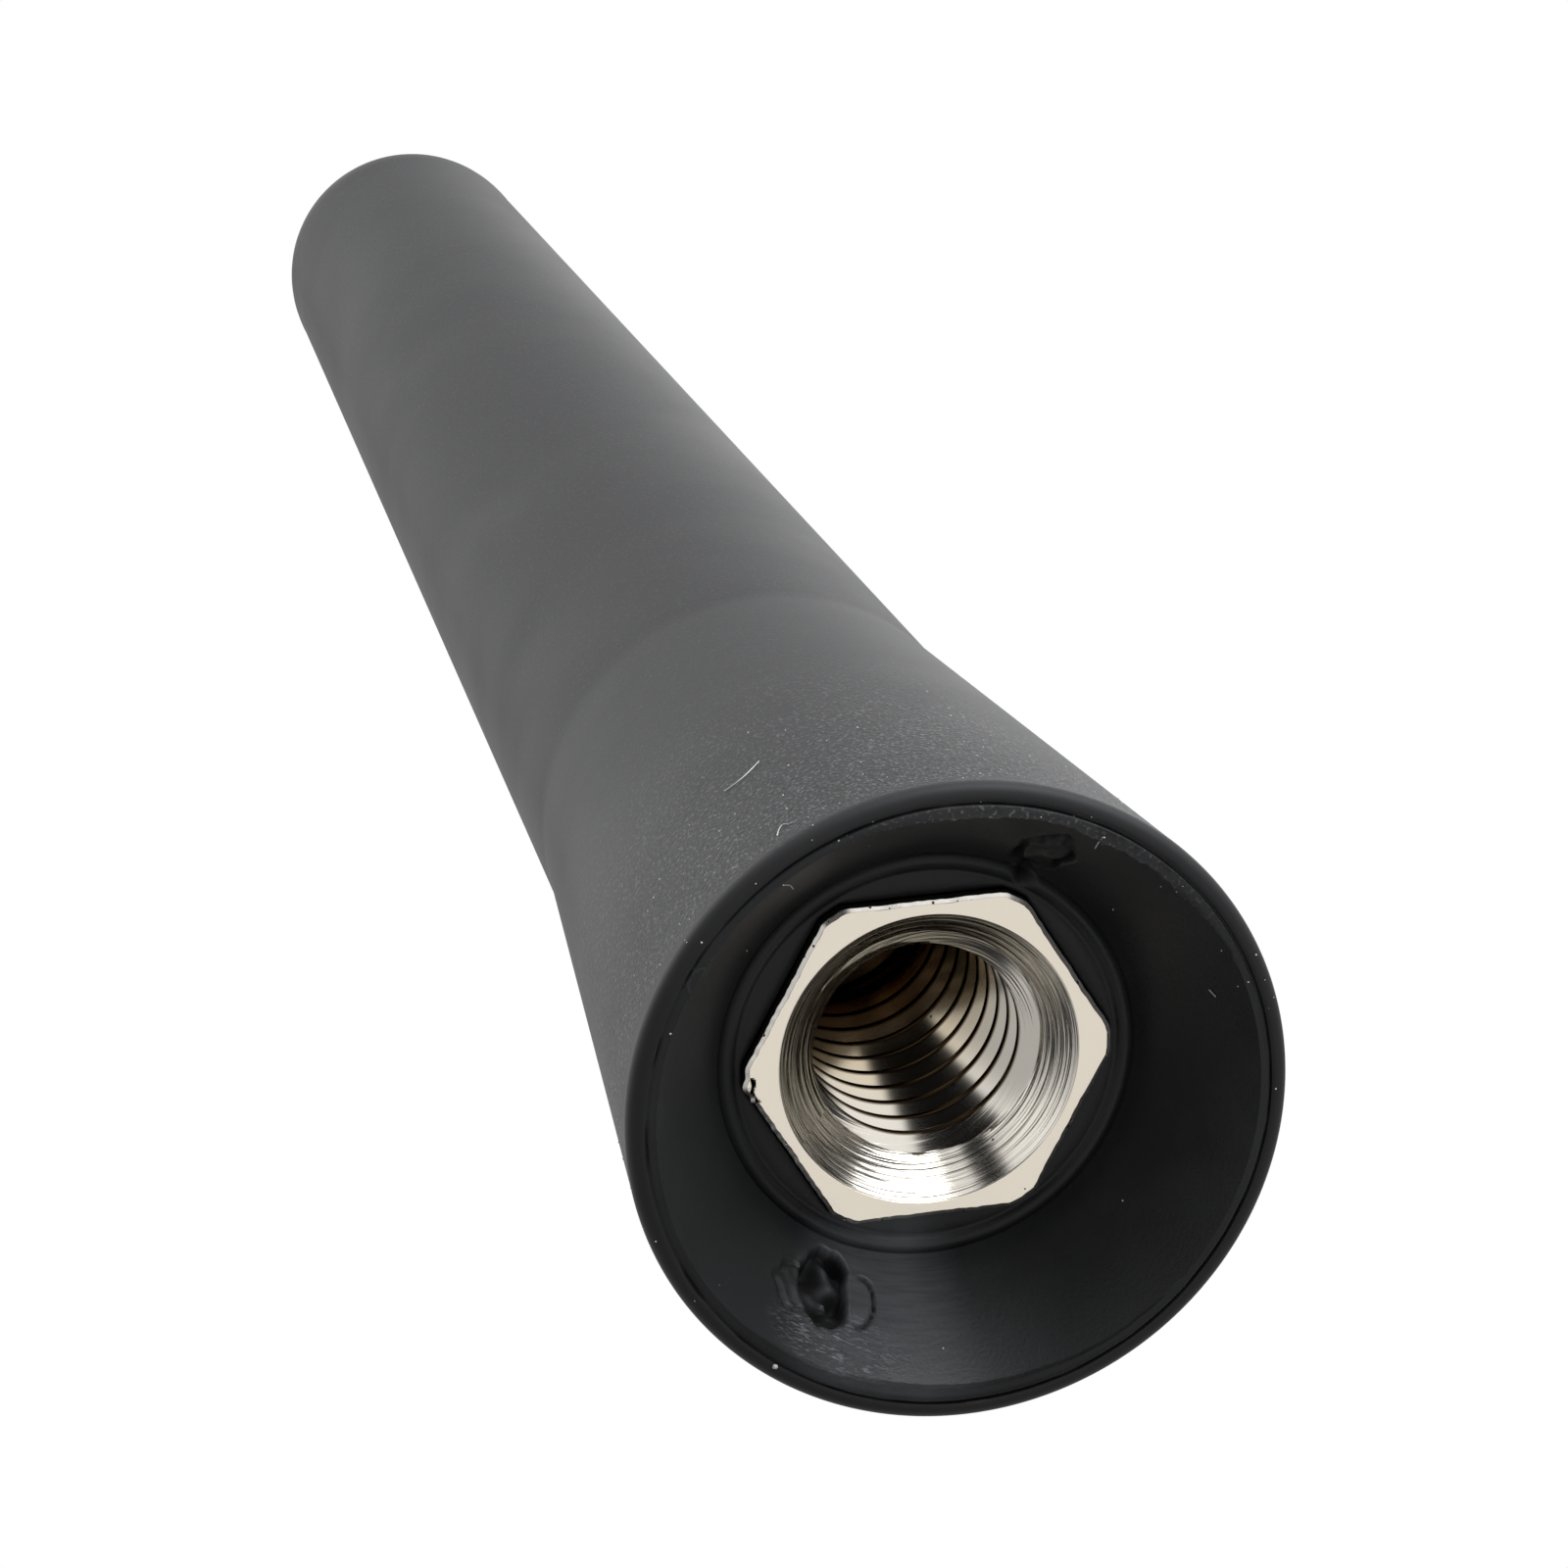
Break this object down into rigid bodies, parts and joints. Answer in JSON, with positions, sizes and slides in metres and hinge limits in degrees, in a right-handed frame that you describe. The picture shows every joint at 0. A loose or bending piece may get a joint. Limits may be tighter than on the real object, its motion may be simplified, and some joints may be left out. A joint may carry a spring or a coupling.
{
  "type": "car mast aerial",
  "caption": "Short rubber-covered car roof aerial mast with a flared base and a threaded hex insert in the dish underneath",
  "frame": {"origin": "centre of the base rim, on the mast's axis, in the plane that the mast stands on", "axes": "+Z runs along the mast from the rim to the tip, and -Y points to a corner of the insert's hexagon"},
  "size_m": [0.0158, 0.0158, 0.08],
  "materials": {
    "sheath_rubber": "fine matt grain outside, smooth satin in the dish",
    "insert_nickel": "turned, bright nickel plate",
    "rod_glass_fibre": "drawn glass fibre in resin",
    "winding_copper": "enamelled copper wire",
    "solder_tin": "dull solder",
    "sleeve_plastic": "shrunk sleeve, satin"
  },
  "bodies": {
    "root": {"rubber_sheath": "sheath_rubber", "threaded_insert": "insert_nickel", "core_rod": "rod_glass_fibre", "antenna_winding": "winding_copper", "solder_joint": "solder_tin", "winding_sleeve": "sleeve_plastic"}
  },
  "joints": []
}
